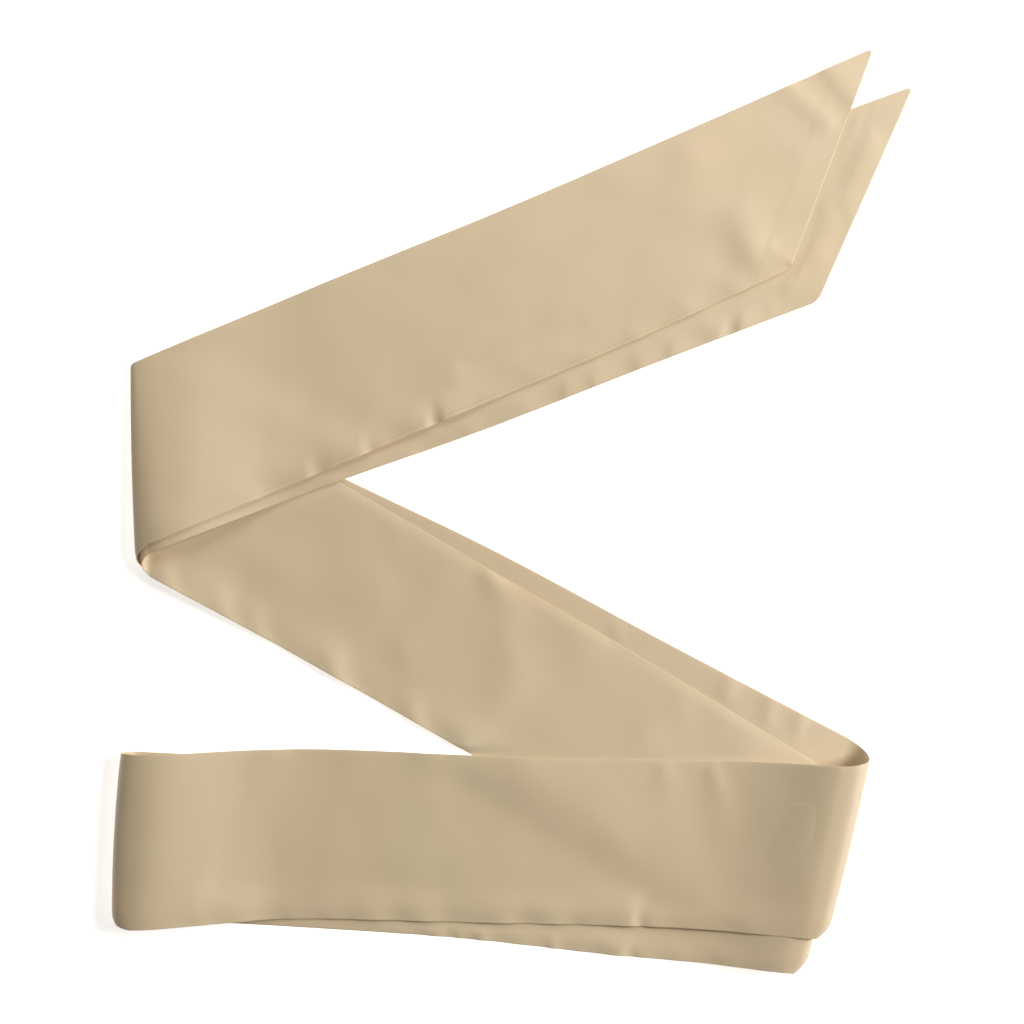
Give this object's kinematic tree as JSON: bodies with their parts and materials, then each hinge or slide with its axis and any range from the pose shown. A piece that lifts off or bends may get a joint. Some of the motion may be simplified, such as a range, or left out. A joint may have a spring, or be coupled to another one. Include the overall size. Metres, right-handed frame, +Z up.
{
  "type": "satin sash",
  "caption": "Pale satin sash, a long flat sewn band with slanted pointed ends, doubled in half and laid on a surface in a loose zigzag.",
  "frame": {"origin": "middle of the laid sash's box, on the surface it lies on", "axes": "+Z up from the surface, +Y towards the pointed ends, +X towards the side where the ends point"},
  "size_m": [0.4619, 0.5328, 0.0231],
  "materials": {
    "satin": "champagne satin, soft sheen, low gloss"
  },
  "bodies": {
    "root": {"tail_upper": "satin", "cross_lower": "satin", "band_upper": "satin", "band_lower": "satin", "cross_upper": "satin", "tail_lower": "satin"}
  },
  "joints": []
}
